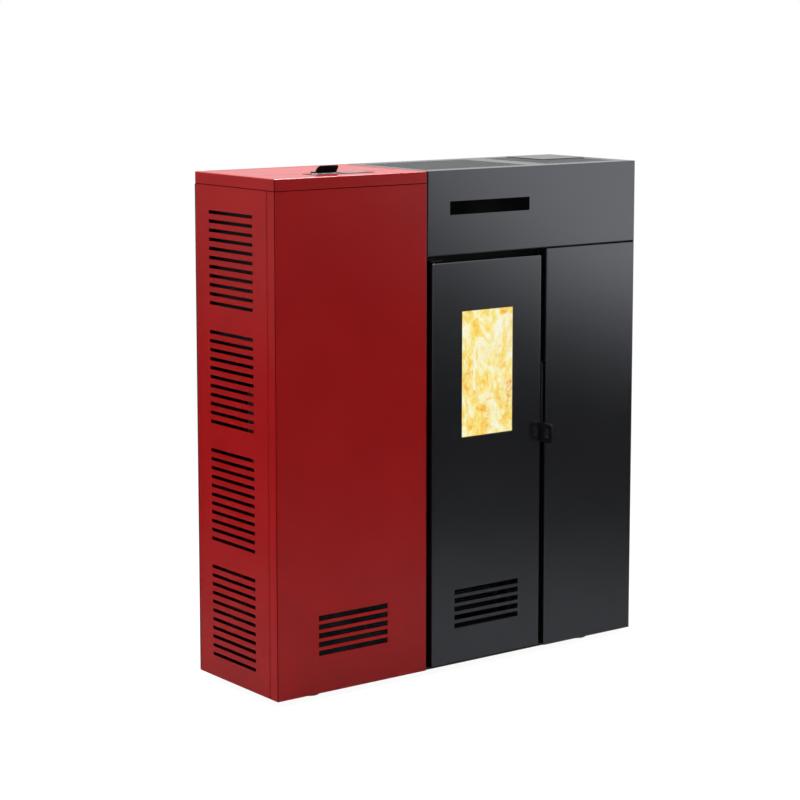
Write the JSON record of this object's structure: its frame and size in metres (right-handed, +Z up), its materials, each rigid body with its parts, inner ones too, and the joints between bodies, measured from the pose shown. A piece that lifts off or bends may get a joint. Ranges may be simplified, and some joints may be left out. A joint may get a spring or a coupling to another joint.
{
  "type": "pellet stove",
  "caption": "Slim free-standing pellet stove: side hopper bay with lift-up lid, glazed hinged fire door with lever handle, warm-air slot, fans, auger and rear flue spigot.",
  "frame": {"origin": "on the floor under the middle of the casing", "axes": "+Z up, +X to the stove's right seen from the front, +Y to the back; the fire door faces -Y"},
  "size_m": [0.907, 0.3525, 1.0275],
  "materials": {
    "red_enamel": "semi-gloss enamel",
    "black_enamel": "gloss enamel",
    "matt_black_steel": "matt heat-resistant paint",
    "galvanised_steel": "galvanised",
    "stove_steel": "matt stove paint",
    "cast_iron": "as cast",
    "bright_steel": "machined",
    "cast_aluminium": "as cast",
    "motor_paint": "satin",
    "ceramic_glass": "clear",
    "control_glass": "gloss",
    "black_plastic": "moulded",
    "circuit_board": "solder mask",
    "foot_rubber": "matt",
    "gasket_rope": "glass-fibre rope"
  },
  "bodies": {
    "stove": {"hopper_front_panel": "red_enamel", "left_side_panel": "red_enamel", "hopper_top_cover": "red_enamel", "fascia_panel": "black_enamel", "right_front_panel": "black_enamel", "right_side_panel": "black_enamel", "top_plate": "black_enamel", "flue_blanking_plate": "black_enamel", "top_grilles": "black_enamel", "hopper_back_panel": "matt_black_steel", "fire_back_panel": "matt_black_steel", "base_pan": "matt_black_steel", "lid_hinge_brackets": "matt_black_steel", "firebox_front": "matt_black_steel", "flue_spigot": "matt_black_steel", "latch_keeper": "matt_black_steel", "door_hinge_brackets": "matt_black_steel", "door_hinge_pins": "matt_black_steel", "hopper": "matt_black_steel", "bay_divider": "matt_black_steel", "exchanger_wall": "matt_black_steel", "hopper_grate": "galvanised_steel", "back_panel_screws": "galvanised_steel", "auger_tube": "galvanised_steel", "feed_chute": "galvanised_steel", "air_inlet_pipe": "galvanised_steel", "firebox": "stove_steel", "ash_drawer": "stove_steel", "heat_exchanger": "stove_steel", "convection_fan_housing": "stove_steel", "fireback": "cast_iron", "burn_pot": "cast_iron", "smoke_baffle": "cast_iron", "igniter": "bright_steel", "exhaust_fan_housing": "cast_aluminium", "auger_gearmotor": "motor_paint", "exhaust_fan_motor": "motor_paint", "convection_fan_motor": "motor_paint", "control_glass": "control_glass", "control_housing": "black_plastic", "mains_inlet": "black_plastic", "safety_thermostat": "black_plastic", "control_board": "circuit_board"},
    "fire_door": {"door_panel": "black_enamel", "door_frame": "matt_black_steel", "door_glass": "ceramic_glass", "door_gaskets": "gasket_rope", "handle_pivot": "matt_black_steel"},
    "door_handle": {"handle_lever": "matt_black_steel"},
    "lid": {"hopper_lid": "red_enamel", "lid_handle": "matt_black_steel"},
    "auger": {"auger_screw": "bright_steel"},
    "exhaust_fan": {"exhaust_impeller": "cast_aluminium"},
    "convection_fan": {"convection_fan_drum": "stove_steel"},
    "power_switch": {"switch_rocker": "black_plastic"},
    "reset": {"reset_button": "black_plastic"},
    "foot_front_left_body": {"foot_front_left": "foot_rubber"},
    "foot_front_right_body": {"foot_front_right": "foot_rubber"},
    "foot_back_left_body": {"foot_back_left": "foot_rubber"},
    "foot_back_right_body": {"foot_back_right": "foot_rubber"}
  },
  "joints": [
    {"name": "door_swing", "type": "hinge", "parent": "stove", "child": "fire_door", "pos_m": [-0.0695, -0.127, 0.424], "axis": [0, 0, -1], "range_deg": [0, 105]},
    {"name": "handle_pull", "type": "hinge", "parent": "fire_door", "child": "door_handle", "pos_m": [0.2019, -0.123, 0.595], "axis": [-1, 0, 0], "range_deg": [0, 25]},
    {"name": "lid_lift", "type": "hinge", "parent": "stove", "child": "lid", "pos_m": [-0.2745, 0.117, 1.008], "axis": [-1, 0, 0], "range_deg": [0, 80]},
    {"name": "auger_turn", "type": "hinge", "parent": "stove", "child": "auger", "pos_m": [-0.3035, 0.011, 0.545], "axis": [1, 0, 0], "continuous": true},
    {"name": "exhaust_turn", "type": "hinge", "parent": "stove", "child": "exhaust_fan", "pos_m": [0.3, 0.008, 0.16], "axis": [0, 0, 1], "continuous": true},
    {"name": "convection_turn", "type": "hinge", "parent": "stove", "child": "convection_fan", "pos_m": [0.0585, 0, 0.108], "axis": [1, 0, 0], "continuous": true},
    {"name": "switch_rock", "type": "hinge", "parent": "stove", "child": "power_switch", "pos_m": [-0.3775, 0.1385, 0.127], "axis": [1, 0, 0], "range_deg": [0, 16]},
    {"name": "reset_press", "type": "slide", "parent": "stove", "child": "reset", "axis": [0, -1, 0], "range_m": [0, 0.002], "stiffness_N_per_m": 800, "springref_m": -0.001},
    {"name": "foot_front_left_level", "type": "slide", "parent": "stove", "child": "foot_front_left_body", "axis": [0, 0, -1], "range_m": [0, 0.012]},
    {"name": "foot_front_right_level", "type": "slide", "parent": "stove", "child": "foot_front_right_body", "axis": [0, 0, -1], "range_m": [0, 0.012]},
    {"name": "foot_back_left_level", "type": "slide", "parent": "stove", "child": "foot_back_left_body", "axis": [0, 0, -1], "range_m": [0, 0.012]},
    {"name": "foot_back_right_level", "type": "slide", "parent": "stove", "child": "foot_back_right_body", "axis": [0, 0, -1], "range_m": [0, 0.012]}
  ]
}
